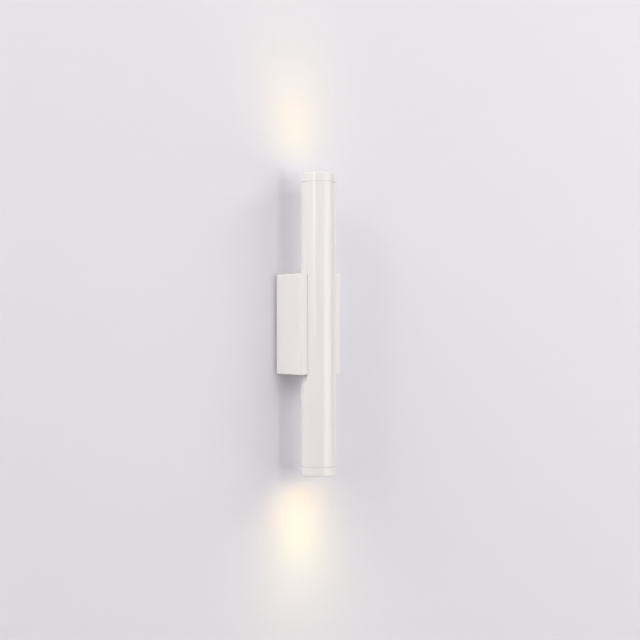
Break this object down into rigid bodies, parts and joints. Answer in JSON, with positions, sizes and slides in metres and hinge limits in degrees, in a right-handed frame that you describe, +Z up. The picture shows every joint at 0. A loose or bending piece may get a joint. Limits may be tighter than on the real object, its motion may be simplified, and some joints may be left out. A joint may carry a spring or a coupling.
{
  "type": "tube wall light",
  "caption": "Slim white tube light that shines up and down, held upright in the cradle of a small rectangular wall box, with a screw-on end ring and frosted lens at each end.",
  "frame": {"origin": "middle of the wall bracket's back face, on the wall", "axes": "+Y into the wall, +Z up along the tube, +X to the right as seen from the room"},
  "size_m": [0.052, 0.0535, 0.3],
  "materials": {
    "white_powder_coat": "fine satin powder coat",
    "white_screws": "satin white lacquer",
    "frosted_lens": "frosted, softly lit from behind",
    "clear_silicone": "translucent silicone",
    "black_rubber": "matt",
    "black_foam": "closed-cell foam",
    "zinc_steel": "zinc plated",
    "zinc_screws": "zinc plated",
    "brass_screws": "bright",
    "bare_aluminium": "turned",
    "bright_aluminium": "polished inside",
    "white_board": "white solder mask",
    "phosphor": "yellow phosphor gel",
    "white_nylon": "moulded nylon",
    "driver_plastic": "fine spark texture",
    "circuit_board": "green solder mask",
    "component_black": "moulded epoxy",
    "lead_sleeve": "silicone sleeve"
  },
  "bodies": {
    "fixture": {"wall_gasket": "black_foam", "wall_bracket": "zinc_steel", "cable_grommet": "black_rubber", "terminal_block": "white_nylon", "terminal_screws": "brass_screws", "terminal_block_screws": "zinc_screws", "earth_washer": "zinc_screws", "earth_screw": "brass_screws", "mains_leads": "lead_sleeve", "housing": "white_powder_coat", "housing_screws": "white_screws", "driver_case": "driver_plastic", "driver_board": "circuit_board", "driver_parts": "component_black", "driver_cover": "driver_plastic", "driver_screws": "zinc_screws", "tube_body": "white_powder_coat", "nut_bar": "bare_aluminium", "tube_screws": "zinc_screws", "wire_grommet": "black_rubber", "upper_heat_sink": "bare_aluminium", "upper_led_board": "white_board", "upper_board_screws": "zinc_screws", "upper_led_emitter": "phosphor", "upper_reflector": "bright_aluminium", "upper_led_leads": "lead_sleeve", "upper_seam_gasket": "black_rubber", "lower_heat_sink": "bare_aluminium", "lower_led_board": "white_board", "lower_board_screws": "zinc_screws", "lower_led_emitter": "phosphor", "lower_reflector": "bright_aluminium", "lower_led_leads": "lead_sleeve", "lower_seam_gasket": "black_rubber"},
    "upper_lens_set": {"upper_lens": "frosted_lens", "upper_lens_gasket": "clear_silicone"},
    "upper_bezel_set": {"upper_bezel": "white_powder_coat", "upper_snap_ring": "zinc_steel"},
    "lower_lens_set": {"lower_lens": "frosted_lens", "lower_lens_gasket": "clear_silicone"},
    "lower_bezel_set": {"lower_bezel": "white_powder_coat", "lower_snap_ring": "zinc_steel"}
  },
  "joints": [
    {"name": "upper_lens_lift", "type": "slide", "parent": "fixture", "child": "upper_lens_set", "axis": [0, 0, 1], "range_m": [0, 0.006]},
    {"name": "upper_bezel_turn", "type": "hinge", "parent": "upper_lens_set", "child": "upper_bezel_set", "pos_m": [0, -0.036, 0.15], "axis": [0, 0, 1], "range_deg": [0, 2160]},
    {"name": "lower_lens_lift", "type": "slide", "parent": "fixture", "child": "lower_lens_set", "axis": [0, 0, -1], "range_m": [0, 0.006]},
    {"name": "lower_bezel_turn", "type": "hinge", "parent": "lower_lens_set", "child": "lower_bezel_set", "pos_m": [0, -0.036, -0.15], "axis": [0, 0, -1], "range_deg": [0, 2160]}
  ],
  "couplings": [
    {"joint": "upper_lens_lift", "follows": "upper_bezel_turn", "m_per_rad": 0.00015915},
    {"joint": "lower_lens_lift", "follows": "lower_bezel_turn", "m_per_rad": 0.00015915}
  ]
}
